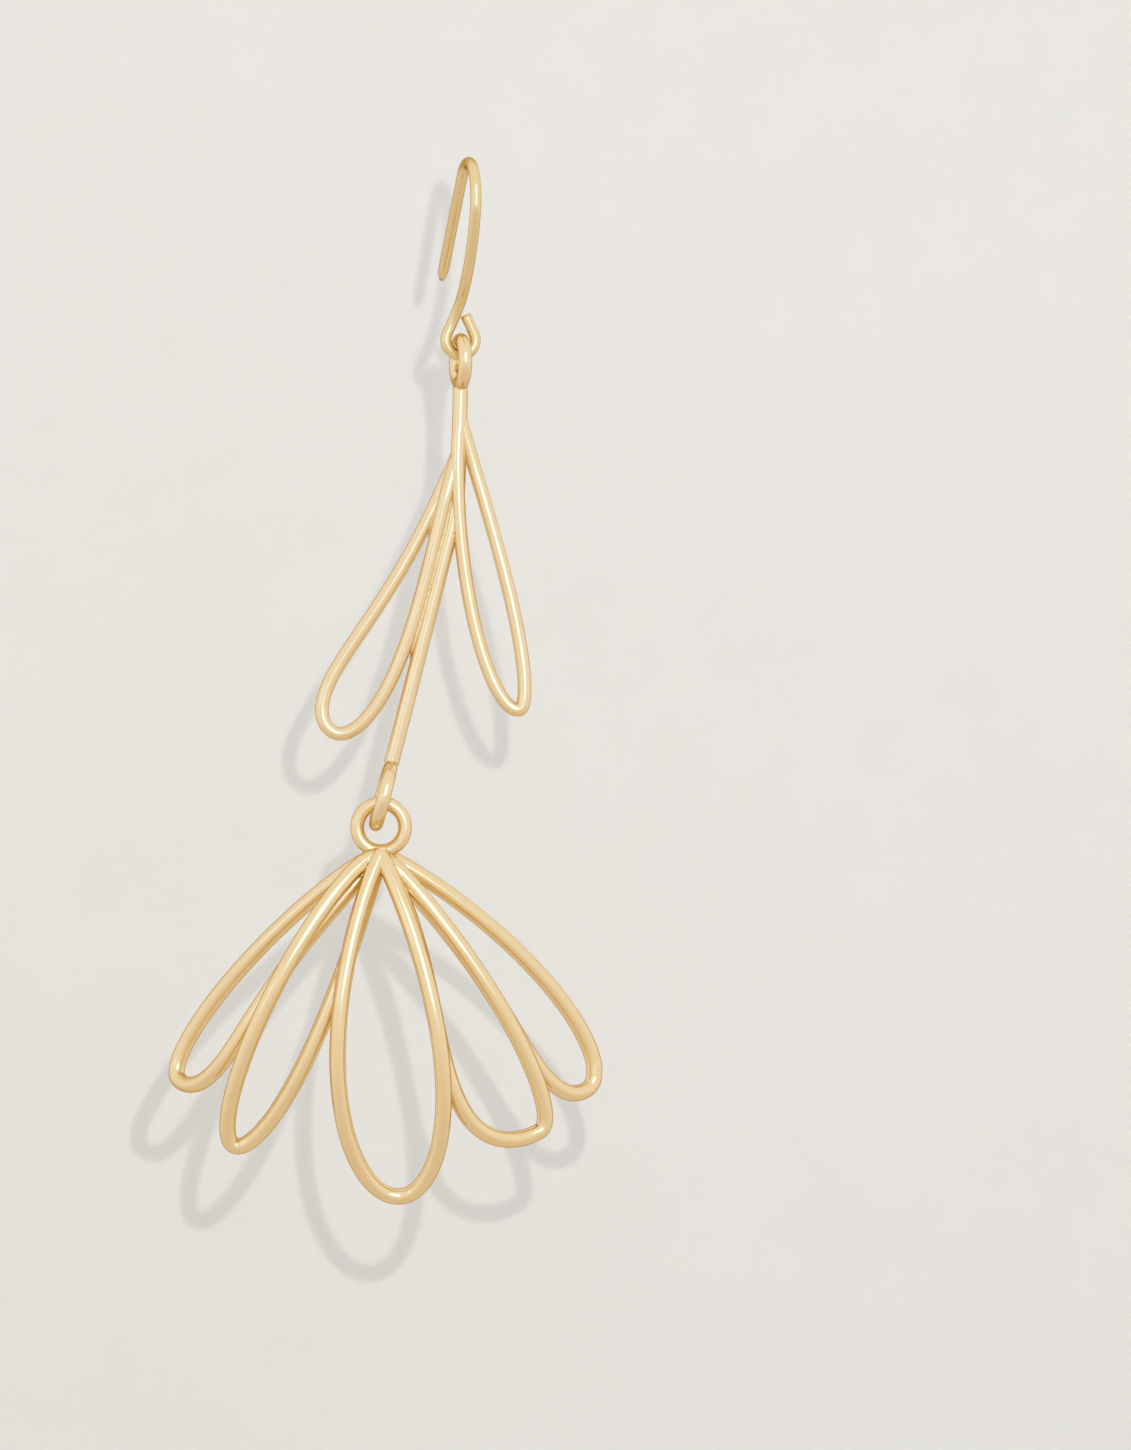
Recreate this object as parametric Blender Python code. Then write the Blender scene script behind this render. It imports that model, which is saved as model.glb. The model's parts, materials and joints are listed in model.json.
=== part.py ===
"""A chandelier earring of gold-plated wire: an ear hook, a link of two leaves and a drop of five petals.

Metres, +Z up, -Y towards the viewer, +X to the viewer's right. The origin is the underside of the hook's bow at
its highest point, where the earring hangs.
"""

import math

import bmesh
import bpy
from mathutils import Vector
from mathutils.geometry import interpolate_bezier

MM = 0.001

# Wire thicknesses
EAR_WIRE = 0.8 * MM
BAIL_WIRE = 1.0 * MM
LEAF_WIRE = 1.0 * MM
STEM_WIRE = 1.1 * MM
EYE_WIRE = 1.0 * MM
RING_WIRE = 1.0 * MM
PETAL_WIRE = 1.2 * MM

# Gap that each interlocked pair of rings keeps, and the further slack in each ring's hole
LINK_GAP = 0.2 * MM
BAIL_SLACK = 0.5 * MM
EYE_SLACK = 0.96 * MM
RING_SLACK = 0.55 * MM

# How much higher than LINK_GAP the ring sits in the slanting eye, to clear its sides too
RING_REST = 0.4 * MM

# Ear hook. Its bow lies in an upright plane that is turned about the vertical; leans are from the vertical
HOOK_TURN = math.radians(13.5)
FOOT_LEAN = math.radians(62)
SHANK_LEAN = math.radians(20)
SHANK_RADIUS = 12.5 * MM
SHOULDER_RADIUS = 1.5 * MM
FRONT_RISE = 0.6 * MM
BOW_RADIUS = 2.6 * MM
TAIL_LEAN = math.radians(135)
TAIL_LENGTH = 10.0 * MM
LOOP_SIDE = 1.9 * MM
LOOP_END = 1.5 * MM
LOOP_TAPER = math.radians(25)
LOOP_FOOT_ROUND = 0.9 * MM
FOOT_BEND_SHARE = 2 / 3

# Leaf link
STEM_UPRIGHT = 6.7 * MM
STEM_LENGTH = 28.1 * MM
STEM_TOP_LEAN = math.radians(1.5)
STEM_LEAN = math.radians(14.4)
STEM_CURVE = 17.5 * MM
LEAF_LENGTH = 24.0 * MM
EYE_TURN = math.radians(4)

# How far a leaf's inner side lies before the stem and its outer side behind it, and how fast the sides part
LEAF_LAYER = 0.35 * LEAF_WIRE
PARTING_RATE = 6.0

# One row for each leaf. Lengths are shares of LEAF_LENGTH. start is how far down the stem the leaf leaves it and lean
# is positive to the viewer's left. outer and inner are how far its two sides bulge, away from the stem and towards
# it; a side of higher fullness bulges nearer the tip.
LEAF_COLUMNS = ("start", "lean", "length", "outer", "inner", "outer_fullness", "inner_fullness")
LEAVES = (
    (0.184, 23.8, 0.948, 0.077, 0.092, 3.27, 1.40),
    (0.096, -11.4, 0.903, 0.043, 0.082, 1.25, 0.86),
)

# Flower drop
PETAL_LENGTH = 25.0 * MM

# One row for each petal, from the viewer's left. Lengths are shares of PETAL_LENGTH. fan is the petal's direction
# from straight down, positive to the left; outer and inner are how far its sides bulge, the inner one towards the
# middle of the flower; seat, cup and lift bring its root, middle and tip forwards; roll turns its outer side forwards.
PETAL_COLUMNS = (
    "fan", "length", "outer", "inner", "outer_fullness", "inner_fullness", "seat", "cup", "lift", "roll",
)
PETALS = (
    (42.0, 0.900, 0.084, 0.062, 0.69, 3.67, -0.012, 0.090, -0.165, -50.0),
    (26.8, 0.955, 0.099, 0.076, 0.55, 1.07, 0.000, 0.100, -0.010, 10.0),
    (-3.1, 1.004, 0.148, 0.157, 0.95, 0.90, 0.018, 0.118, -0.020, 0.0),
    (-29.7, 0.937, 0.083, 0.160, 0.83, 2.22, 0.002, 0.082, -0.070, -17.0),
    (-41.2, 0.924, 0.114, 0.070, 0.86, 3.68, -0.010, 0.056, -0.205, -28.0),
)

# How deep a soldered wire enters a ring, as a share of the ring's wire
SOLDER_SHARE = 0.25

# Fineness of the meshes
SIDES = 8
LOOP_POINTS = 48
RING_POINTS = 24
FOOT_POINTS = 6
ARC_STEP = math.radians(8)
STRAIGHT_STEP = 1.5 * MM
MERGE = 0.001 * MM

# Radii of the interlocked rings, each to the middle of its wire, from what passes through them
LOOP_RADIUS = BAIL_WIRE / 2 + LINK_GAP + EAR_WIRE / 2
BAIL_RADIUS = EAR_WIRE / 2 + LINK_GAP + BAIL_SLACK + BAIL_WIRE / 2
EYE_RADIUS = RING_WIRE / 2 + LINK_GAP + EYE_SLACK + EYE_WIRE / 2
RING_RADIUS = EYE_WIRE / 2 + LINK_GAP + RING_SLACK + RING_WIRE / 2
EYE_TO_RING = EYE_WIRE / 2 + LINK_GAP + RING_REST + RING_WIRE / 2


def clear_scene():
    for old in list(bpy.data.objects):
        bpy.data.objects.remove(old, do_unlink=True)


def gold(name, colour, roughness):
    """A plated-metal material."""
    material = bpy.data.materials.new(name)
    material.use_nodes = True
    shader = material.node_tree.nodes["Principled BSDF"]
    shader.inputs["Base Color"].default_value = (*colour, 1.0)
    shader.inputs["Metallic"].default_value = 1.0
    shader.inputs["Roughness"].default_value = roughness
    material.diffuse_color = (*colour, 1.0)
    return material


def bent(lean, rows):
    """Flat points (along, up) of a wire: each row is a straight run, the lean after it and the radius of the bend."""
    points = [Vector((0.0, 0.0))]
    for run, next_lean, radius in rows:
        here = points[-1] + run * Vector((math.sin(lean), math.cos(lean)))
        if run:
            points.append(here)
        turn = next_lean - lean
        hand = math.copysign(1.0, turn)
        steps = max(1, math.ceil(abs(turn) / ARC_STEP)) if turn else 0
        for step in range(1, steps + 1):
            angle = lean + turn * step / steps
            points.append(
                here
                + hand * radius * Vector((math.cos(lean) - math.cos(angle), math.sin(angle) - math.sin(lean)))
            )
        lean = next_lean
    return points


def circle(centre, radius, across, up):
    """Points of a ring in the plane of two directions."""
    angles = [2 * math.pi * step / RING_POINTS for step in range(RING_POINTS)]
    return [centre + radius * (math.cos(a) * across + math.sin(a) * up) for a in angles]


def loop(row, unit):
    """Drop-shaped loop from its root round to its root, as (share of its length, distance down, distance outwards)."""
    for step in range(LOOP_POINTS + 1):
        turn = 2 * math.pi * step / LOOP_POINTS
        share = (1 - math.cos(turn)) / 2
        side, hand = ("outer", 1.0) if math.sin(turn) >= 0 else ("inner", -1.0)
        fullness = row[side + "_fullness"]
        widest = fullness / (fullness + 0.5)
        swell = (share / widest) ** fullness * math.sqrt((1 - share) / (1 - widest))
        yield share, row["length"] * unit * share, hand * row[side] * unit * swell


def wire(path, thickness, closed=False):
    """A round wire along a path, as a bmesh with its doubles merged."""
    curve = bpy.data.curves.new("wire", "CURVE")
    curve.dimensions = "3D"
    curve.bevel_depth = thickness / 2
    curve.bevel_resolution = SIDES // 2 - 2
    curve.use_fill_caps = not closed
    spline = curve.splines.new("POLY")
    spline.points.add(len(path) - 1)
    for point, place in zip(spline.points, path):
        point.co = (*place, 1.0)
    spline.use_cyclic_u = closed
    holder = bpy.data.objects.new("wire", curve)
    mesh = bpy.data.meshes.new_from_object(holder)
    bm = bmesh.new()
    bm.from_mesh(mesh)
    bmesh.ops.remove_doubles(bm, verts=bm.verts, dist=MERGE)
    bpy.data.objects.remove(holder)
    bpy.data.curves.remove(curve)
    bpy.data.meshes.remove(mesh)
    return bm


def helper(name, wires):
    """A hidden object that holds some wires as one mesh."""
    mesh = bpy.data.meshes.new(name)
    joined = bmesh.new()
    for bm in wires:
        piece = bpy.data.meshes.new("piece")
        bm.to_mesh(piece)
        joined.from_mesh(piece)
        bpy.data.meshes.remove(piece)
        bm.free()
    joined.to_mesh(mesh)
    joined.free()
    made = bpy.data.objects.new(name, mesh)
    made.hide_render = True
    made.display_type = "WIRE"
    bpy.context.collection.objects.link(made)
    return made


def soldered(name, wires, first, pivot, material):
    """One solid of many wires, with its origin on the pivot."""
    body = helper(name, wires)
    other = helper(name + "_ring", [first])
    union = body.modifiers.new("solder", "BOOLEAN")
    union.operation = "UNION"
    union.solver = "EXACT"
    union.use_self = True
    union.object = other
    graph = bpy.context.evaluated_depsgraph_get()
    mesh = bpy.data.meshes.new_from_object(body.evaluated_get(graph))
    bpy.data.objects.remove(body)
    bpy.data.objects.remove(other)
    return finished(name, mesh, pivot, material)


def finished(name, mesh, pivot, material):
    """The visible object of a sub-part: smooth, in its material, with its origin on the pivot."""
    bm = bmesh.new()
    bm.from_mesh(mesh)
    bmesh.ops.translate(bm, verts=bm.verts, vec=-pivot)
    bmesh.ops.recalc_face_normals(bm, faces=bm.faces)
    bm.to_mesh(mesh)
    bm.free()
    mesh.name = name
    mesh.materials.clear()
    mesh.materials.append(material)
    mesh.shade_smooth()
    made = bpy.data.objects.new(name, mesh)
    made.location = pivot
    bpy.context.collection.objects.link(made)
    return made


def hook_path():
    """Middle line of the ear hook from the cut end of its loop to its tail, and the middle of the loop's bottom."""
    forward = Vector((math.sin(HOOK_TURN), -math.cos(HOOK_TURN), 0.0))
    aside = Vector((math.cos(HOOK_TURN), math.sin(HOOK_TURN), 0.0))
    up = Vector((0.0, 0.0, 1.0))

    bow_top = math.radians(-90)
    front = bent(
        FOOT_LEAN,
        ((0.0, SHANK_LEAN, SHANK_RADIUS), (0.0, 0.0, SHOULDER_RADIUS), (FRONT_RISE, bow_top, BOW_RADIUS)),
    )
    back = bent(bow_top, ((0.0, -TAIL_LEAN, BOW_RADIUS), (TAIL_LENGTH, -TAIL_LEAN, BOW_RADIUS)))
    top = front[-1]
    crown = (EAR_WIRE / 2) * up
    bow = [crown + (p.x - top.x) * forward + (p.y - top.y) * up for p in front]
    bow += [crown + p.x * forward + p.y * up for p in back[1:]]
    foot = bow[0]

    # The loop hangs from the foot in the plane across the bow
    reach = math.pi / 2 + LOOP_TAPER
    side = Vector((math.sin(LOOP_TAPER), math.cos(LOOP_TAPER)))
    tangent = LOOP_RADIUS * Vector((math.sin(reach), -math.cos(reach)))
    centre = foot + (tangent.x - LOOP_SIDE * side.x) * aside - (tangent.y + LOOP_SIDE * side.y) * up
    steps = math.ceil(2 * reach / (2 * ARC_STEP)) * 2
    arc = [centre + LOOP_RADIUS * (math.sin(a) * aside - math.cos(a) * up)
           for a in (reach - 2 * reach * step / steps for step in range(steps + 1))]
    cut_end = arc[0] + LOOP_END * (side.y * up - side.x * aside)

    # A short smooth bend takes the loop's side into the shank
    below = foot - LOOP_FOOT_ROUND * (side.x * aside + side.y * up)
    above = foot + LOOP_FOOT_ROUND * (bow[1] - foot).normalized()
    handles = [end.lerp(foot, FOOT_BEND_SHARE) for end in (below, above)]
    foot_bend = interpolate_bezier(below, *handles, above, FOOT_POINTS)
    return [cut_end] + arc + foot_bend + bow[1:], centre - LOOP_RADIUS * up


def even(path):
    """The same path with long straight runs divided."""
    points = [path[0]]
    for start, end in zip(path, path[1:]):
        steps = max(1, round((end - start).length / STRAIGHT_STEP))
        points += [start.lerp(end, step / steps) for step in range(1, steps + 1)]
    return points


def ear_hook(path, material):
    bm = wire(even(path), EAR_WIRE)
    mesh = bpy.data.meshes.new("ear_hook")
    bm.to_mesh(mesh)
    bm.free()
    return finished("ear_hook", mesh, Vector(), material)


def stem_points(top):
    """Middle line of the stem: upright, then a soft bend towards the lower left."""
    rest = STEM_LENGTH - STEM_UPRIGHT - STEM_CURVE * (STEM_LEAN - STEM_TOP_LEAN)
    rows = ((STEM_UPRIGHT, STEM_LEAN, STEM_CURVE), (rest, STEM_LEAN, STEM_CURVE))
    return [top + Vector((-p.x, 0.0, -p.y)) for p in bent(STEM_TOP_LEAN, rows)]


def leaf_path(top, row):
    """Middle line of one leaf's wire, whose inner side lies in front of the stem and outer side behind it."""
    leaf = dict(zip(LEAF_COLUMNS, row))
    lean = math.radians(leaf["lean"])
    down = Vector((-math.sin(lean), 0.0, -math.cos(lean)))
    outwards = math.copysign(1.0, lean) * Vector((-math.cos(lean), 0.0, math.sin(lean)))
    root = top + Vector((0.0, 0.0, -leaf["start"] * LEAF_LENGTH))
    points = []
    for share, along, aside in loop(leaf, LEAF_LENGTH):
        layer = math.copysign(min(1.0, PARTING_RATE * share) * (1 - share) * LEAF_LAYER, aside)
        points.append(root + along * down + aside * outwards + Vector((0.0, layer, 0.0)))
    return points


def leaf_link(pivot, material):
    """Bail ring, stem, two leaves and the lower eye; returns where the ring that hangs in the eye has its top wire."""
    up = Vector((0.0, 0.0, 1.0))
    forward = Vector((math.sin(HOOK_TURN), -math.cos(HOOK_TURN), 0.0))
    bail_centre = pivot - BAIL_SLACK * up
    top = bail_centre - (BAIL_RADIUS + SOLDER_SHARE * BAIL_WIRE) * up
    stem = stem_points(top)
    down = (stem[-1] - stem[-2]).normalized()
    eye_centre = stem[-1] + (EYE_RADIUS + SOLDER_SHARE * EYE_WIRE) * down
    eye_back = Vector((-math.sin(EYE_TURN), math.cos(EYE_TURN), 0.0))
    eye_across = (eye_back - eye_back.dot(down) * down).normalized()
    wires = [
        wire(even(stem), STEM_WIRE),
        wire(circle(eye_centre, EYE_RADIUS, down, eye_across), EYE_WIRE, closed=True),
    ]
    wires += [wire(leaf_path(top, row), LEAF_WIRE) for row in LEAVES]
    bail = wire(circle(bail_centre, BAIL_RADIUS, forward, up), BAIL_WIRE, closed=True)
    soldered("leaf_link", wires, bail, pivot, material)
    return eye_centre + (EYE_RADIUS - EYE_TO_RING) * down


def petal_path(root, row):
    """Middle line of one petal's wire."""
    petal = dict(zip(PETAL_COLUMNS, row))
    fan = math.radians(petal["fan"])
    down = Vector((-math.sin(fan), 0.0, -math.cos(fan)))
    outwards = math.copysign(1.0, fan) * Vector((-math.cos(fan), 0.0, math.sin(fan)))
    points = []
    for share, along, aside in loop(petal, PETAL_LENGTH):
        rise = petal["seat"] * (1 - share) + petal["cup"] * 4 * share * (1 - share) + petal["lift"] * share
        depth = rise * PETAL_LENGTH + aside * math.tan(math.radians(petal["roll"]))
        points.append(root + along * down + aside * outwards + Vector((0.0, -depth, 0.0)))
    return points


def flower_drop(pivot, material):
    """Ring and five petals; the pivot is the middle of the ring's top wire."""
    across = Vector((1.0, 0.0, 0.0))
    up = Vector((0.0, 0.0, 1.0))
    centre = pivot - RING_RADIUS * up
    root = centre - (RING_RADIUS + SOLDER_SHARE * RING_WIRE) * up
    petals = [wire(petal_path(root, row), PETAL_WIRE) for row in PETALS]
    ring = wire(circle(centre, RING_RADIUS, across, up), RING_WIRE, closed=True)
    return soldered("flower_drop", petals, ring, pivot, material)


def main():
    clear_scene()
    path, loop_bottom = hook_path()
    ear_hook(path, gold("ear_wire_gold", (0.83, 0.62, 0.30), 0.22))
    ring_top = leaf_link(loop_bottom, gold("leaf_gold", (0.86, 0.68, 0.38), 0.25))
    flower_drop(ring_top, gold("petal_gold", (0.86, 0.68, 0.38), 0.25))


main()
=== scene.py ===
# %% [markdown]
# # A chandelier earring of gold-plated wire
# The real earring is three pieces of jeweller's wirework: an ear hook bent from one wire, a link of two leaves
# soldered to a stem, and a drop of five petals soldered under a ring. Each hangs on the one above it. The packed
# model gives the places and the moving bodies, and this lesson models the wires finely around it.

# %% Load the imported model
import json
import math

import bmesh
import bpy
from mathutils import Matrix, Vector
from mathutils.kdtree import KDTree


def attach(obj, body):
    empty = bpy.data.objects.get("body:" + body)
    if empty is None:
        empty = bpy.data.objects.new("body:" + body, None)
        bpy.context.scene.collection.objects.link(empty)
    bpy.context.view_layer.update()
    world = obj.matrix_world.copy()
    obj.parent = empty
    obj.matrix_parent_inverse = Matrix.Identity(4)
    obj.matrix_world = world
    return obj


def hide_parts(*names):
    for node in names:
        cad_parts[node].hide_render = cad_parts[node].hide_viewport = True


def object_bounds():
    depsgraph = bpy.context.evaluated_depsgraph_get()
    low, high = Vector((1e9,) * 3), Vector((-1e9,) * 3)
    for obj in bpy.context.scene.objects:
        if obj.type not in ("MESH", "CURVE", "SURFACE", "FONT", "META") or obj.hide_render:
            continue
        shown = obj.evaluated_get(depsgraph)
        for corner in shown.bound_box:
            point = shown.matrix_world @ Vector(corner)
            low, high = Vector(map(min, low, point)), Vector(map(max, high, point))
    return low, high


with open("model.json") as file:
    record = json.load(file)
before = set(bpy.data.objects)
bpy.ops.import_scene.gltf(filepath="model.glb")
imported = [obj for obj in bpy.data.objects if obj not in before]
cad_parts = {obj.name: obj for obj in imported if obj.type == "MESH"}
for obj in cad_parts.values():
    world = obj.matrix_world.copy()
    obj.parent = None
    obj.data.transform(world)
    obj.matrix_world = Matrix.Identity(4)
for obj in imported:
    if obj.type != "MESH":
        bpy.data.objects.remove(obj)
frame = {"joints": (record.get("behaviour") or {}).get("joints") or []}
cad_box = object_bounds()
MM = 0.001
pivots = {joint["name"]: Vector(joint["pos_m"]) for joint in frame["joints"]}

# %% [markdown]
# ## The camera
# The photograph looks straight at the flat of the earring from far away, so its wires hardly change size with
# depth. A long lens at 450 mm does the same. One millimetre at the leaves' depth is 13.7 pixels of the frame.

# %% Place the camera
FRAME_PIXELS_HIGH = 1450
PIXELS_PER_MM = 13.7
CAMERA_DISTANCE = 450 * MM
AIM = Vector((7.07, 3.05, -40.38)) * MM

camera = bpy.data.objects.new("camera", bpy.data.cameras.new("camera"))
bpy.context.collection.objects.link(camera)
camera.location = AIM - Vector((0.0, CAMERA_DISTANCE, 0.0))
camera.rotation_euler = (math.pi / 2, 0.0, 0.0)
camera.data.sensor_width = 36
camera.data.lens = camera.data.sensor_width * CAMERA_DISTANCE / MM * PIXELS_PER_MM / FRAME_PIXELS_HIGH
bpy.context.scene.camera = camera
print("lens", round(camera.data.lens, 1))

# %% [markdown]
# ## Sweeping a wire
# A wire is a disc carried along a line. Each step extrudes the disc's edge and moves the new edge to the next
# place on the line, turned no more than the line itself turns, so that the wire never twists. A ring's two ends
# are bridged, and a cut wire's ends are filled. Each vertex keeps its place on the wire before it was bent, as the
# attribute "straight", for the fine lines that the drawing die leaves along a real wire.

# %% Wires as swept discs
SIDES = 24
BOX_ROOM = 0.002 * MM


def kept_in_box(point, radius):
    """The point moved, where it must be, so that a wire of this radius stays inside the CAD model's box."""
    room = radius + BOX_ROOM
    return Vector([min(max(value, low + room), high - room) for value, low, high in zip(point, *cad_box)])


class Wire:
    """A round wire: its middle line, its thickness and whether it closes on itself."""

    def __init__(self, points, thickness, closed=False):
        self.radius = thickness / 2
        self.points = [kept_in_box(point, self.radius) for point in points]
        self.closed = closed

    def places(self):
        """One matrix for each point of the line, with Z along the wire."""
        points = self.points
        ends = points[-1:] + points + points[:1] if self.closed else points[:1] + points + points[-1:]
        runs = [(after - before).normalized() for before, after in zip(ends, ends[2:])]
        turn = Vector((0.0, 0.0, 1.0)).rotation_difference(runs[0])
        made = []
        for index, (point, run) in enumerate(zip(points, runs)):
            if index:
                turn = runs[index - 1].rotation_difference(run) @ turn
            made.append(Matrix.Translation(point) @ turn.to_matrix().to_4x4())
        return made

    def sweep(self, bm, sizes=None):
        """Adds the wire to a bmesh and returns its vertices; sizes are (wide, deep) shares of full thickness."""
        straight = bm.verts.layers.float_vector.get("straight") or bm.verts.layers.float_vector.new("straight")
        places = self.places()
        if sizes:
            places = [place @ Matrix.Diagonal((*size, 1.0, 1.0)) for place, size in zip(places, sizes)]
        grown = bmesh.ops.create_circle(bm, segments=SIDES, radius=self.radius, matrix=places[0])["verts"]
        first = edges = list({edge for vert in grown for edge in vert.link_edges})
        made = list(grown)
        along = 0.0
        for vert in made:
            vert[straight] = places[0].inverted() @ vert.co
        for here, there in zip(places, places[1:]):
            grown = bmesh.ops.extrude_edge_only(bm, edges=edges)["geom"]
            verts = [part for part in grown if isinstance(part, bmesh.types.BMVert)]
            edges = [part for part in grown if isinstance(part, bmesh.types.BMEdge)]
            bmesh.ops.transform(bm, matrix=there @ here.inverted(), verts=verts)
            along += (there.translation - here.translation).length
            back = there.inverted()
            for vert in verts:
                vert[straight] = back @ vert.co + along * Vector((0.0, 0.0, 1.0))
            made += verts
        if self.closed:
            bmesh.ops.bridge_loops(bm, edges=first + edges)
        else:
            bmesh.ops.contextual_create(bm, geom=first)
            bmesh.ops.contextual_create(bm, geom=edges)
        return made


def piece(name, bm):
    """A shown object that holds a finished bmesh, smooth and with its faces outwards."""
    bmesh.ops.recalc_face_normals(bm, faces=bm.faces)
    mesh = bpy.data.meshes.new(name)
    bm.to_mesh(mesh)
    bm.free()
    mesh.shade_smooth()
    made = bpy.data.objects.new(name, mesh)
    bpy.context.collection.objects.link(made)
    return made


# %% [markdown]
# ## Lines that a wire-bender follows
# Three lines make the whole earring: straight runs with round bends between them, a ring, and a drop-shaped loop
# that swells towards its tip.

# %% Bends, rings and drops
BEND_STEP = math.radians(4)
RUN_STEP = 0.3 * MM
RING_POINTS = 48
LOOP_POINTS = 160


def bent(lean, rows):
    """Flat points (along, up): each row is a straight run, the lean after it and the radius of the bend."""
    points = [Vector((0.0, 0.0))]
    for run, next_lean, radius in rows:
        start = points[-1]
        steps = math.ceil(run / RUN_STEP)
        points += [start + run * step / steps * Vector((math.sin(lean), math.cos(lean)))
                   for step in range(1, steps + 1)]
        here = points[-1]
        turn = next_lean - lean
        hand = math.copysign(radius, turn)
        steps = math.ceil(abs(turn) / BEND_STEP)
        for step in range(1, steps + 1):
            angle = lean + turn * step / steps
            points.append(
                here + hand * Vector((math.cos(lean) - math.cos(angle), math.sin(angle) - math.sin(lean)))
            )
        lean = next_lean
    return points


def ring(centre, across, up, wide, tall):
    """Points of an upright oval, from its two directions and its two half sizes."""
    turns = [2 * math.pi * step / RING_POINTS for step in range(RING_POINTS)]
    return [centre + wide * math.cos(turn) * across + tall * math.sin(turn) * up for turn in turns]


def drop(row, unit):
    """A drop-shaped loop from root to root: (share of its length, distance down, distance outwards)."""
    for step in range(LOOP_POINTS + 1):
        turn = 2 * math.pi * step / LOOP_POINTS
        share = (1 - math.cos(turn)) / 2
        side, hand = ("outer", 1.0) if math.sin(turn) >= 0 else ("inner", -1.0)
        fullness = row[side + "_fullness"]
        widest = fullness / (fullness + 0.5)
        swell = (share / widest) ** fullness * math.sqrt((1 - share) / (1 - widest))
        yield share, row["length"] * unit * share, hand * row[side] * unit * swell


RIGHT = Vector((1.0, 0.0, 0.0))
BACK = Vector((0.0, 1.0, 0.0))
UP = Vector((0.0, 0.0, 1.0))

# %% [markdown]
# ## The ear hook
# One 0.8 mm wire. Its bow goes through the ear with a straight tail behind, and its shank sweeps back under the
# bow and ends in a small open loop that the leaves hang in. The loop was closed with round-nosed pliers, and its
# end is still cut square, which is left sharp here. The tail's end is filed round for the ear.

# %% Bend the ear hook
EAR_WIRE = 0.8 * MM
HOOK_TURN = math.radians(13.5)
FOOT_LEAN = math.radians(62)
SHANK_LEAN = math.radians(20)
SHANK_RADIUS = 12.5 * MM
SHOULDER_RADIUS = 1.5 * MM
FRONT_RISE = 0.6 * MM
BOW_RADIUS = 2.6 * MM
TAIL_LEAN = math.radians(135)
TAIL_LENGTH = 10.0 * MM
LOOP_RADIUS = 1.1 * MM
LOOP_SIDE = 1.9 * MM
LOOP_END = 1.5 * MM
LOOP_TAPER = math.radians(25)
LOOP_FOOT_ROUND = 1.6 * MM
LOOP_END_STEPS = 5
LOOP_SIDE_STEPS = 3
FOOT_BEND_STEPS = 8
SHANK_KEPT_ABOVE = -4 * MM
TAIL_ROUNDING = (0.45, 0.72, 0.88, 0.96)


def hook_line():
    """Middle line of the ear hook, from the cut end of its loop to its tail."""
    forward = Vector((math.sin(HOOK_TURN), -math.cos(HOOK_TURN), 0.0))
    aside = Vector((math.cos(HOOK_TURN), math.sin(HOOK_TURN), 0.0))
    bow_top = math.radians(-90)
    front = bent(
        FOOT_LEAN,
        ((0.0, SHANK_LEAN, SHANK_RADIUS), (0.0, 0.0, SHOULDER_RADIUS), (FRONT_RISE, bow_top, BOW_RADIUS)),
    )
    back = bent(bow_top, ((0.0, -TAIL_LEAN, BOW_RADIUS), (TAIL_LENGTH, -TAIL_LEAN, BOW_RADIUS)))
    crown = EAR_WIRE / 2 * UP
    bow = [crown + (point.x - front[-1].x) * forward + (point.y - front[-1].y) * UP for point in front]
    bow += [crown + point.x * forward + point.y * UP for point in back[1:]]

    # The loop hangs from the shank's foot, across the bow, round the place where the leaves' bail hangs
    centre = pivots["leaf_swing"] + LOOP_RADIUS * UP
    reach = math.pi / 2 + LOOP_TAPER
    steps = math.ceil(2 * reach / BEND_STEP)
    arc = [centre + LOOP_RADIUS * (math.sin(a) * aside - math.cos(a) * UP)
           for a in (reach - 2 * reach * step / steps for step in range(steps + 1))]
    to_end = math.cos(LOOP_TAPER) * UP - math.sin(LOOP_TAPER) * aside
    to_foot = math.cos(LOOP_TAPER) * UP + math.sin(LOOP_TAPER) * aside
    end = [arc[0] + LOOP_END * (1 - step / LOOP_END_STEPS) * to_end for step in range(LOOP_END_STEPS)]
    foot_run = LOOP_SIDE - LOOP_FOOT_ROUND
    side = [arc[-1] + foot_run * step / LOOP_SIDE_STEPS * to_foot for step in range(1, LOOP_SIDE_STEPS)]

    # A soft bend takes the loop's side into the shank
    joint = bow[0]
    kept = [point for point in bow if (point - joint).length > LOOP_FOOT_ROUND or point.z > SHANK_KEPT_ABOVE]
    start = arc[-1] + foot_run * to_foot
    bend = []
    for step in range(FOOT_BEND_STEPS + 1):
        t = step / FOOT_BEND_STEPS
        bend.append(start * (1 - t) ** 2 + joint * 2 * t * (1 - t) + kept[0] * t * t)
    return end + arc + side + bend + kept[1:]


hook_points = hook_line()
hook_mesh = bmesh.new()
plain_points = len(hook_points) - len(TAIL_ROUNDING)
sizes = [(1.0, 1.0)] * plain_points + [(share, share) for share in reversed(TAIL_ROUNDING)]
Wire(hook_points, EAR_WIRE).sweep(hook_mesh, sizes)
hook = piece("ear_hook_wire", hook_mesh)
print("ear hook", len(hook.data.polygons), "faces")

# %% [markdown]
# ## Soldering
# The wires lie against each other and keep their round shape, so a sharp line shows where two of them touch. Solder
# runs in along that line by itself and stops a little way past the place where the wires part. Here it is a thin
# wire of its own, laid halfway between the two and tapered to nothing where their gap gets too wide for it.

# %% Let solder run between two wires
SOLDER_GAP = 0.30 * MM
SOLDER_THICKNESS = 0.62 * MM
SOLDER_REACH = 0.30 * MM
SOLDER_OVERLAP = 0.7
SOLDER_TIP = 0.05
SOLDER_SWELL = 0.5
FEWEST_SOLDER_POINTS = 4
CREASE_TURN = 0.8
STRAND_STEP = 2


class Strand:
    """One stretch of a wire between two points of its line."""

    def __init__(self, wire, first=0, last=None):
        self.points = wire.points[first:last]
        self.radius = wire.radius


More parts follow.
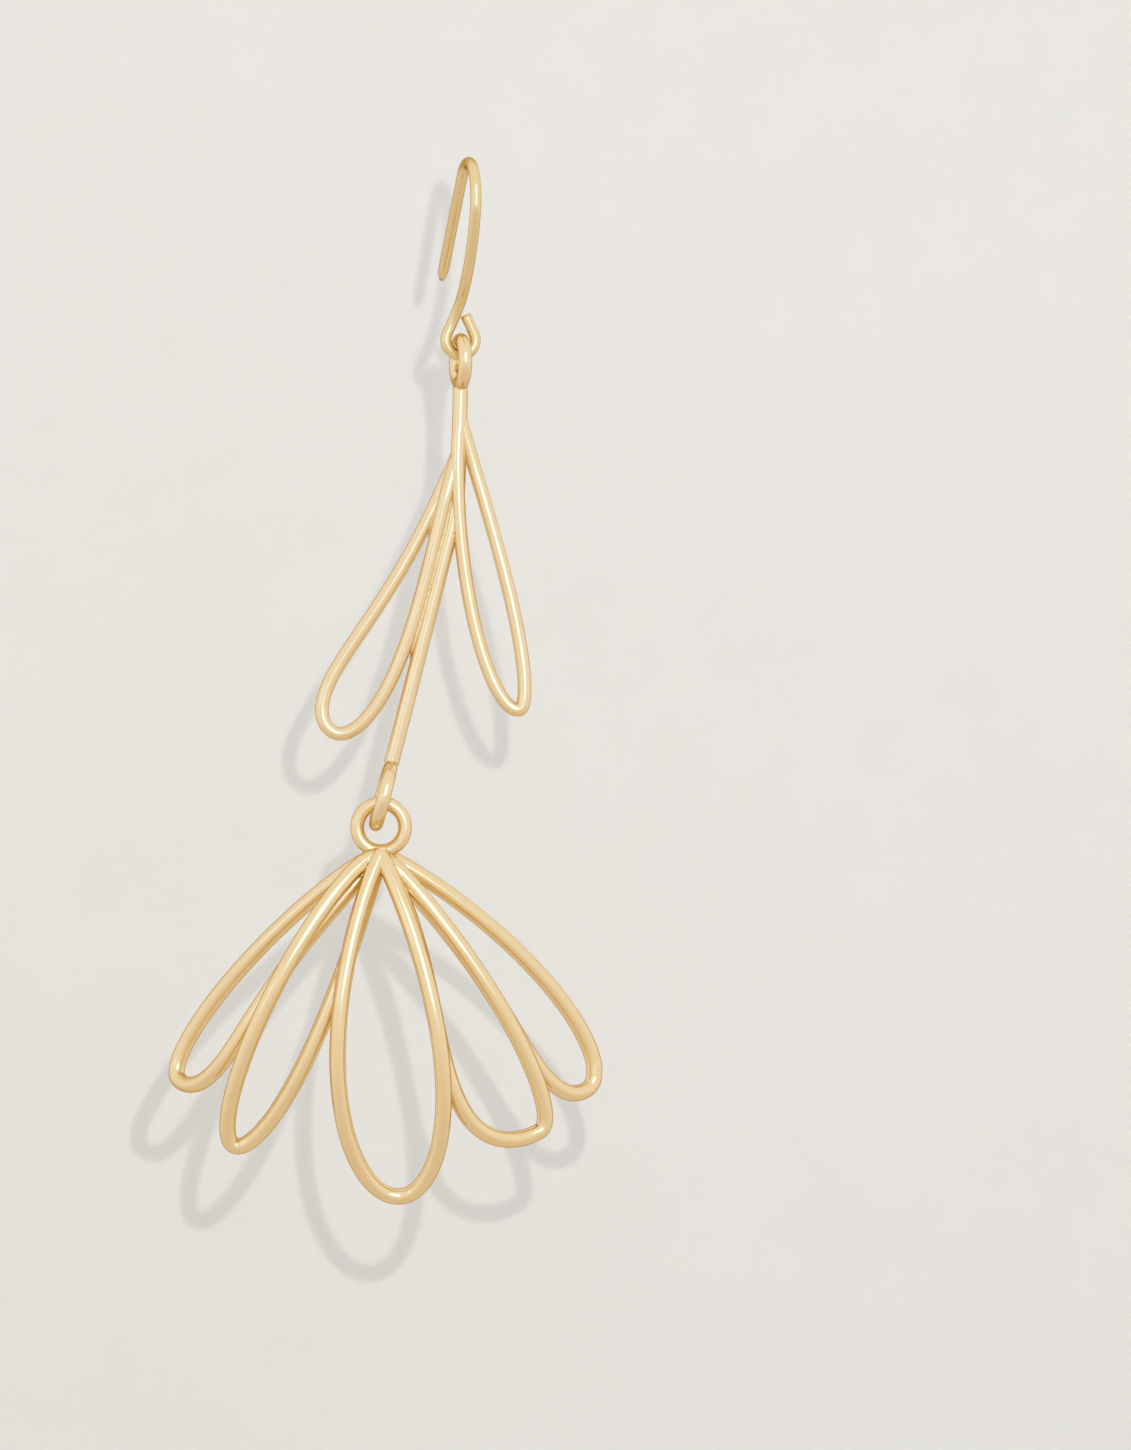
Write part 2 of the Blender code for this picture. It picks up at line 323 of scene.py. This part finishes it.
def halves(wire):
    """The outer and the inner side of a leaf or a petal, both from the root to the tip."""
    middle = len(wire.points) // 2
    inner = Strand(wire, middle)
    inner.points = inner.points[::-1]
    return Strand(wire, 0, middle), inner


def tree_of(points):
    """A search tree that finds the nearest of these points."""
    tree = KDTree(len(points))
    for index, point in enumerate(points):
        tree.insert(point, index)
    tree.balance()
    return tree


def solder(bm, one, other, thickness=SOLDER_THICKNESS):
    """Lays solder between two strands wherever they run close together."""
    tree = tree_of(other.points)
    runs = [[]]
    for point in one.points[::STRAND_STEP]:
        near, _, distance = tree.find(point)
        gap = distance - one.radius - other.radius
        if -SOLDER_OVERLAP * one.radius < gap < SOLDER_GAP:
            runs[-1].append((point.lerp(near, 0.5), 1 - max(0.0, gap / SOLDER_GAP) ** 2))
        elif runs[-1]:
            runs.append([])
    layer = bm.verts.layers.float.get("solder") or bm.verts.layers.float.new("solder")
    for run in runs:
        if len(run) >= FEWEST_SOLDER_POINTS:
            ends = [min(1.0, SOLDER_TIP + SOLDER_SWELL * min(step, len(run) - 1 - step))
                    for step in range(len(run))]
            sizes = [(share * end, share * end) for (_, share), end in zip(run, ends)]
            for vert in Wire([point for point, _ in run], thickness).sweep(bm, sizes):
                vert[layer] = 1.0


def mark_painted_crease_shade(made, strands):
    """Marks creases beside the solder for painted shade, which deepens the gold there: 1 where two strands touch
    side by side, 0 from SOLDER_REACH away.
    """
    trees = [(tree_of(strand.points), strand.radius) for strand in strands]
    marks = made.data.attributes["solder"].data
    for vert, mark in zip(made.data.vertices, marks):
        found = []
        for tree, radius in trees:
            near, _, distance = tree.find(vert.co)
            found.append((distance - radius, (vert.co - near).normalized()))
        (_, facing), (gap, other_facing) = sorted(found, key=lambda one: one[0])[:2]
        crease = min(1.0, (1 - facing.dot(other_facing)) / CREASE_TURN)
        mark.value = max(mark.value, crease * min(1.0, max(0.0, 1.0 - gap / SOLDER_REACH)))


print("solder stops where the gap passes", round(SOLDER_GAP / MM, 2), "mm")

# %% [markdown]
# ## The leaf link
# A bail ring at the top, a stem that bends to the lower left, a long left leaf, a shorter right leaf, and an eye
# at the bottom that the flower's ring goes through. Each leaf is one wire bent back on itself and soldered to
# the stem, its inner side a little in front of the stem and its outer side a little behind.

# %% Bend and solder the leaf link
BAIL_WIRE = 1.0 * MM
LEAF_WIRE = 1.0 * MM
STEM_WIRE = 1.1 * MM
EYE_WIRE = 1.0 * MM
BAIL_RADIUS = 1.6 * MM
BAIL_SLACK = 0.5 * MM
EYE_RADIUS = 2.16 * MM
EYE_TURN = math.radians(4)
STEM_UPRIGHT = 6.7 * MM
STEM_LENGTH = 28.1 * MM
STEM_TOP_LEAN = math.radians(1.5)
STEM_LEAN = math.radians(14.4)
STEM_CURVE = 17.5 * MM
LEAF_LENGTH = 24.0 * MM
LEAF_LAYER = 0.35 * LEAF_WIRE
PARTING_RATE = 6.0
SOLDER_SHARE = 0.25

LEAF_COLUMNS = ("start", "lean", "length", "outer", "inner", "outer_fullness", "inner_fullness")
LEAVES = (
    (0.184, 23.8, 0.948, 0.077, 0.092, 3.27, 1.40),
    (0.096, -11.4, 0.903, 0.043, 0.082, 1.25, 0.86),
)


def leaf_line(top, row):
    """Middle line of a leaf, from one side's root round the tip to the other's."""
    leaf = dict(zip(LEAF_COLUMNS, row))
    lean = math.radians(leaf["lean"])
    down = Vector((-math.sin(lean), 0.0, -math.cos(lean)))
    outwards = math.copysign(1.0, lean) * Vector((-math.cos(lean), 0.0, math.sin(lean)))
    root = top - leaf["start"] * LEAF_LENGTH * UP
    points = []
    for share, along, aside in drop(leaf, LEAF_LENGTH):
        layer = math.copysign(min(1.0, PARTING_RATE * share) * (1 - share) * LEAF_LAYER, aside)
        points.append(root + along * down + aside * outwards + layer * BACK)
    return points


def stem_line(top):
    """Middle line of the stem, which hangs nearly straight and then bends to the lower left."""
    rest = STEM_LENGTH - STEM_UPRIGHT - STEM_CURVE * (STEM_LEAN - STEM_TOP_LEAN)
    rows = ((STEM_UPRIGHT, STEM_LEAN, STEM_CURVE), (rest, STEM_LEAN, STEM_CURVE))
    return [top - point.x * RIGHT - point.y * UP for point in bent(STEM_TOP_LEAN, rows)]


bail_forward = Vector((math.sin(HOOK_TURN), -math.cos(HOOK_TURN), 0.0))
bail_centre = pivots["leaf_swing"] - BAIL_SLACK * UP
stem_top = bail_centre - (BAIL_RADIUS + SOLDER_SHARE * BAIL_WIRE) * UP
stem = stem_line(stem_top)
stem_down = (stem[-1] - stem[-2]).normalized()
eye_centre = stem[-1] + (EYE_RADIUS + SOLDER_SHARE * EYE_WIRE) * stem_down
eye_back = Vector((-math.sin(EYE_TURN), math.cos(EYE_TURN), 0.0))
eye_across = (eye_back - eye_back.dot(stem_down) * stem_down).normalized()
stem_wire = Wire(stem, STEM_WIRE)
bail_wire = Wire(ring(bail_centre, bail_forward, UP, BAIL_RADIUS, BAIL_RADIUS), BAIL_WIRE, closed=True)
eye_wire = Wire(ring(eye_centre, eye_across, stem_down, EYE_RADIUS, EYE_RADIUS), EYE_WIRE, closed=True)
leaf_wires = [Wire(leaf_line(stem_top, row), LEAF_WIRE) for row in LEAVES]

leaf_mesh = bmesh.new()
for wire in (stem_wire, bail_wire, eye_wire, *leaf_wires):
    wire.sweep(leaf_mesh)
stem_strand = Strand(stem_wire)
leaf_sides = [halves(wire) for wire in leaf_wires]
for outer_side, inner_side in leaf_sides:
    solder(leaf_mesh, inner_side, stem_strand)
    solder(leaf_mesh, outer_side, inner_side)
leaves = piece("leaf_link_wires", leaf_mesh)
mark_painted_crease_shade(leaves, [stem_strand, Strand(bail_wire), Strand(eye_wire), *leaf_sides[0], *leaf_sides[1]])
print("leaf link", len(leaves.data.polygons), "faces")

# %% [markdown]
# ## The flower drop
# Five petals, each one wire bent into a drop and pinched at its root, fan out under a ring. The middle petal
# lies in front with its root folded over the ring's lowest point, and the outer ones curve away behind. Each
# petal's inner side is soldered to the back of its neighbour's outer side.

# %% Bend and solder the flower
RING_WIRE = 1.0 * MM
PETAL_WIRE = 1.2 * MM
RING_RADIUS = 1.75 * MM
PETAL_LENGTH = 24.95 * MM
ROOT_SOLDER_THICKNESS = 1.6 * SOLDER_THICKNESS

PETAL_COLUMNS = (
    "fan", "length", "outer", "inner", "outer_fullness", "inner_fullness", "seat", "cup", "lift", "roll",
)
PETALS = (
    (42.0, 0.900, 0.084, 0.062, 0.69, 3.67, -0.012, 0.090, -0.165, -50.0),
    (26.8, 0.955, 0.099, 0.076, 0.55, 1.07, 0.000, 0.100, -0.010, 10.0),
    (-3.1, 1.004, 0.148, 0.157, 0.95, 0.90, 0.018, 0.118, -0.020, 0.0),
    (-29.7, 0.937, 0.083, 0.160, 0.83, 2.22, 0.002, 0.082, -0.070, -17.0),
    (-41.2, 0.924, 0.114, 0.070, 0.86, 3.68, -0.010, 0.056, -0.205, -28.0),
)


def petal_line(root, row):
    """Middle line of a petal, cupped towards the viewer and rolled about its own length."""
    petal = dict(zip(PETAL_COLUMNS, row))
    fan = math.radians(petal["fan"])
    down = Vector((-math.sin(fan), 0.0, -math.cos(fan)))
    outwards = math.copysign(1.0, fan) * Vector((-math.cos(fan), 0.0, math.sin(fan)))
    points = []
    for share, along, aside in drop(petal, PETAL_LENGTH):
        rise = petal["seat"] * (1 - share) + petal["cup"] * 4 * share * (1 - share) + petal["lift"] * share
        depth = rise * PETAL_LENGTH + aside * math.tan(math.radians(petal["roll"]))
        points.append(root + along * down + aside * outwards - depth * BACK)
    return points


ring_centre = pivots["flower_swing"] - RING_RADIUS * UP
petal_root = ring_centre - (RING_RADIUS + SOLDER_SHARE * RING_WIRE) * UP
ring_wire = Wire(ring(ring_centre, RIGHT, UP, RING_RADIUS, RING_RADIUS), RING_WIRE, closed=True)
petal_wires = [Wire(petal_line(petal_root, row), PETAL_WIRE) for row in PETALS]

flower_mesh = bmesh.new()
for wire in (ring_wire, *petal_wires):
    wire.sweep(flower_mesh)
sides = [halves(wire) for wire in petal_wires]
middle_outer, middle_inner = sides[2]
solder(flower_mesh, middle_outer, middle_inner, ROOT_SOLDER_THICKNESS)
for one, other in (
    (sides[0][1], sides[1][0]),
    (sides[1][1], middle_outer),
    (sides[3][1], middle_inner),
    (sides[4][1], sides[3][0]),
    (sides[0][0], sides[1][0]),
    (sides[4][0], sides[3][0]),
    (sides[3][0], middle_inner),
):
    solder(flower_mesh, one, other)
flower = piece("flower_wires", flower_mesh)
mark_painted_crease_shade(flower, [Strand(ring_wire), *(side for pair in sides for side in pair)])
print("flower", len(flower.data.polygons), "faces")

# %% [markdown]
# ## Shader maths as Python
# One class wraps a socket, so that a finish reads as a formula. Arithmetic adds Math nodes, and node() adds any
# other kind.

# %% A socket that does arithmetic


class Signal:
    def __init__(self, tree, socket=None):
        self.tree = tree
        self.socket = socket

    def node(self, kind, settings=None, inputs=None, output=0):
        """Adds a node: its settings first, then values or links for its sockets."""
        made = self.tree.nodes.new(kind)
        for name, value in (settings or {}).items():
            if name == "stops":
                for element, (position, colour) in zip(made.color_ramp.elements, value):
                    element.position = position
                    element.color = colour
            else:
                setattr(made, name, value)
        for name, value in (inputs or {}).items():
            if isinstance(value, Signal):
                self.tree.links.new(value.socket, made.inputs[name])
            else:
                made.inputs[name].default_value = value
        return Signal(self.tree, made.outputs[output] if len(made.outputs) else None)

    def maths(self, operation, *values):
        return self.node("ShaderNodeMath", {"operation": operation}, dict(enumerate(values)))

    def __add__(self, other):
        return self.maths("ADD", self, other)

    __radd__ = __add__

    def __mul__(self, other):
        return self.maths("MULTIPLY", self, other)

    __rmul__ = __mul__

    def __sub__(self, other):
        return self.maths("SUBTRACT", self, other)

    def __rsub__(self, other):
        return self.maths("SUBTRACT", other, self)

    def above(self, low, high):
        """0 below low, 1 above high, smooth between."""
        return self.node(
            "ShaderNodeMapRange",
            {"interpolation_type": "SMOOTHSTEP"},
            {"Value": self, "From Min": low, "From Max": high},
        )

    def noise(self, size, detail=2.0, stretch=(1.0, 1.0, 1.0)):
        """Cloudy noise of a size in metres, read at this signal's coordinates."""
        scale = tuple(share / size for share in stretch)
        place = self.node("ShaderNodeMapping", {}, {"Vector": self, "Scale": scale})
        return self.node("ShaderNodeTexNoise", {}, {"Vector": place, "Scale": 1.0, "Detail": detail})

    def mix(self, first, second):
        """first where this signal is 0, second where it is 1."""
        return self.node(
            "ShaderNodeMix", {"data_type": "RGBA"}, {"Factor": self, 6: first, 7: second}, output=2
        )


def material(name):
    """A new material, a start for its formulas and its Principled shader."""
    made = bpy.data.materials.new(name)
    made.use_nodes = True
    return made, Signal(made.node_tree), made.node_tree.nodes["Principled BSDF"]


def feed(shader, **inputs):
    """Sets or links sockets of a shader; underscores stand for spaces."""
    for name, value in inputs.items():
        socket = shader.inputs[name.replace("_", " ")]
        if isinstance(value, Signal):
            value.tree.links.new(value.socket, socket)
        else:
            socket.default_value = value


# %% [markdown]
# ## Gold plate
# The plate is a pale champagne gold over brass with a satin polish: reflections are soft and nearly white in
# the middle of each wire, the gold deepens towards its edges, and fine die lines run along it. Painted shade
# deepens the colour in the creases where wires lie against each other. Solder takes the polish less well, so the
# joins are rougher and deeper in colour, with small pits.

# %% The gold finishes
EDGE_TINT = (0.72, 0.56, 0.32, 1.0)
CLOUD_SIZE = 2.5 * MM
GRAIN_SIZE = 0.16 * MM
PIT_SIZE = 0.30 * MM
DIE_LINE_WIDTH = 0.20 * MM
DIE_LINE_STRETCH = (1.0, 1.0, 0.03)
BUMP_DEPTH = 0.02 * MM
OBJECT_COORDINATES = 3


def gold(name, pale, deep, roughness):
    """A gold finish that is deeper, rougher and pitted where the wires are soldered, and deeper in the creases
    beside the solder as painted shade.
    """
    made, start, shader = material(name)
    place = start.node("ShaderNodeTexCoord", output=OBJECT_COORDINATES)
    straight = start.node("ShaderNodeAttribute", {"attribute_name": "straight"}, output=1)
    solder_and_crease_marks = start.node("ShaderNodeAttribute", {"attribute_name": "solder"}, output=2)
    cloud = place.noise(CLOUD_SIZE)
    grain = place.noise(GRAIN_SIZE, detail=3.0)
    pits = place.noise(PIT_SIZE, detail=1.0).above(0.58, 0.70)
    die_lines = straight.noise(DIE_LINE_WIDTH, detail=2.0, stretch=DIE_LINE_STRETCH)
    # The solder attribute is 1 on the solder and falls off through the creases beside it. The deeper base colour
    # mixed in from it is the solder's own colour on the beads and painted shade in the creases; the cloud adds a
    # random tone.
    solder_and_painted_crease = solder_and_crease_marks.above(0.45, 0.95)
    near = solder_and_crease_marks.above(0.0, 0.8)
    tone = (solder_and_painted_crease * 0.75 + near * 0.2 + cloud.above(0.40, 0.80) * 0.15).maths("MINIMUM", 1.0)
    height = die_lines * 0.7 + grain * (solder_and_painted_crease * 5.0 + 0.15) - pits * solder_and_painted_crease * 5.0
    bump = start.node("ShaderNodeBump", {}, {"Height": height, "Strength": 0.5, "Distance": BUMP_DEPTH})
    feed(
        shader,
        Base_Color=tone.mix((*pale, 1.0), (*deep, 1.0)),
        Metallic=1.0,
        Roughness=cloud * 0.08 + solder_and_painted_crease * 0.14 + (roughness - 0.04),
        Specular_Tint=EDGE_TINT,
        Normal=bump,
    )
    return made


ear_gold = gold("ear_wire_gold", (0.92, 0.80, 0.53), (0.86, 0.66, 0.32), 0.18)
leaf_gold = gold("leaf_champagne_gold", (0.97, 0.875, 0.67), (0.89, 0.66, 0.30), 0.15)
petal_gold = gold("petal_champagne_gold", (0.96, 0.855, 0.62), (0.89, 0.66, 0.30), 0.15)
for made, finish, body, node, slot in (
    (hook, ear_gold, "ear_hook", "ear_hook", "ear_wire_gold"),
    (leaves, leaf_gold, "leaf_link", "leaf_link", "leaf_gold"),
    (flower, petal_gold, "flower_drop", "flower_drop", "petal_gold"),
):
    made.data.materials.clear()
    made.data.materials.append(finish)
    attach(made, body)
    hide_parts(node)
print("finished pieces", [made.name for made in (hook, leaves, flower)])

# %% [markdown]
# ## The backdrop
# The earring hangs in front of a pale matt board. Here the board stands behind the furthest place that the leaves
# and the flower swing back to, and sweeps forward into a floor below the view. It is seen only from its front;
# from behind, the view passes through it. An open sheet has no outside of its own, so the script looks up its tall
# wall and turns the sheet round where that wall faces away. The polished wires reflect the room in its stead, so
# that their edges stay a deep gold.

# %% Pale backdrop
BACKDROP_DEPTH = 74 * MM
FLOOR_HEIGHT = -128 * MM
SWEEP_RADIUS = 22 * MM
SWEEP_STEPS = 12
BACKDROP_TOP = 400 * MM
FLOOR_FRONT = -500 * MM
BACKDROP_HALF_WIDTH = 500 * MM
MOTTLE_SIZE = 6 * MM

backdrop_mesh = bmesh.new()
last = bmesh.ops.create_vert(backdrop_mesh, co=(-BACKDROP_HALF_WIDTH, BACKDROP_DEPTH, BACKDROP_TOP))["vert"]
drop_down = (FLOOR_HEIGHT + SWEEP_RADIUS - BACKDROP_TOP) * UP
for move in (drop_down, None, (FLOOR_FRONT - BACKDROP_DEPTH + SWEEP_RADIUS) * BACK):
    if move is None:
        sweep_centre = last[0].co - SWEEP_RADIUS * BACK
        bent_edge = bmesh.ops.spin(
            backdrop_mesh, geom=last, cent=sweep_centre, axis=RIGHT, angle=-math.pi / 2, steps=SWEEP_STEPS,
        )["geom_last"]
        last = [part for part in bent_edge if isinstance(part, bmesh.types.BMVert)]
    else:
        last = bmesh.ops.extrude_vert_indiv(backdrop_mesh, verts=last)["verts"]
        bmesh.ops.translate(backdrop_mesh, verts=last, vec=move)
widened = bmesh.ops.extrude_edge_only(backdrop_mesh, edges=backdrop_mesh.edges[:])["geom"]
far_side = [part for part in widened if isinstance(part, bmesh.types.BMVert)]
bmesh.ops.translate(backdrop_mesh, verts=far_side, vec=2 * BACKDROP_HALF_WIDTH * RIGHT)
backdrop = piece("backdrop", backdrop_mesh)
wall = max(backdrop.data.polygons, key=lambda face: abs(face.normal.y)).index
if backdrop.data.polygons[wall].normal.y > 0:
    backdrop.data.flip_normals()
print("the wall faces", [round(way, 2) for way in backdrop.data.polygons[wall].normal])
backdrop.visible_glossy = False

pale, start, shader = material("pale_board")
place = start.node("ShaderNodeTexCoord", output=OBJECT_COORDINATES)
mottle = place.noise(MOTTLE_SIZE, detail=4.0)
feed(
    shader,
    Base_Color=mottle.mix((0.745, 0.725, 0.675, 1.0), (0.770, 0.750, 0.700, 1.0)),
    Roughness=0.9,
    Specular_IOR_Level=0.1,
)
from_behind = start.node("ShaderNodeNewGeometry", output=6)
see_through = start.node("ShaderNodeBsdfTransparent")
board_front = Signal(pale.node_tree, shader.outputs[0])
one_sided = start.node("ShaderNodeMixShader", {}, {0: from_behind, 1: board_front, 2: see_through})
pale.node_tree.links.new(one_sided.socket, pale.node_tree.nodes["Material Output"].inputs["Surface"])
backdrop.data.materials.append(pale)
print("backdrop faces", len(backdrop.data.polygons))

# %% [markdown]
# ## The light
# A small lamp close in front throws the shadows: being close, it moves the flower's shadow further than the hook's.
# A very wide softbox round the camera gives the wires their broad pale bands, a brighter one in front of it puts a
# white line in each band, a small one at the left adds a second thin line, and one behind does the same for the
# back. All are cool, so that the lines look white on the warm metal. The room is bright above and in front, and
# warmer and darker below and behind, which leaves the wires' lower sides and edges a deeper gold.

# %% Lamps and room
COOL_WHITE = (0.40, 1.0, 1.7)
KEY_PLACE = Vector((15.0, -320.0, -20.0)) * MM
KEY_RADIUS = 1.5 * MM
KEY_POWER = 1.05
ROOM_BRIGHT = (0.91, 0.86, 0.83, 1.0)
ROOM_LOW = (0.76, 0.65, 0.53, 1.0)
ROOM_BEHIND = (0.72, 0.59, 0.46, 1.0)


def softbox(name, direction, distance, size, power):
    """A square cool lamp that faces the earring from a direction, seen only in reflections and shade."""
    light = bpy.data.lights.new(name, "AREA")
    light.size = size
    light.energy = power
    light.color = COOL_WHITE
    lamp = bpy.data.objects.new(name, light)
    lamp.location = AIM + direction.normalized() * distance
    lamp.rotation_mode = "QUATERNION"
    lamp.rotation_quaternion = direction.to_track_quat("Z", "Y")
    lamp.visible_camera = False
    bpy.context.collection.objects.link(lamp)


key_light = bpy.data.lights.new("key", "POINT")
key_light.energy = KEY_POWER
key_light.shadow_soft_size = KEY_RADIUS
key = bpy.data.objects.new("key", key_light)
key.location = KEY_PLACE
key.visible_camera = False
key.visible_glossy = False
bpy.context.collection.objects.link(key)
softbox("wide_softbox", Vector((0.20, -1.0, 0.32)), 1.0, 0.85, 0.28)
softbox("bright_softbox", Vector((0.24, -1.0, 0.34)), 0.9, 0.55, 0.55)
softbox("left_softbox", Vector((-0.95, -1.0, 0.25)), 1.0, 0.22, 0.06)
softbox("back_softbox", Vector((0.60, 1.0, 0.50)), 1.0, 0.50, 0.36)

world = bpy.data.worlds.new("room")
world.use_nodes = True
bpy.context.scene.world = world
room = Signal(world.node_tree)
background = world.node_tree.nodes["Background"]
heading = room.node("ShaderNodeTexCoord", output=0)
height = room.node("ShaderNodeSeparateXYZ", {}, {0: heading}, output=2)
depth = room.node("ShaderNodeSeparateXYZ", {}, {0: heading}, output=1)
shade = depth.above(0.25, 0.85).mix(height.above(-0.8, 0.1).mix(ROOM_LOW, ROOM_BRIGHT), ROOM_BEHIND)
world.node_tree.links.new(shade.socket, background.inputs["Color"])
bpy.context.scene.view_settings.view_transform = "Standard"
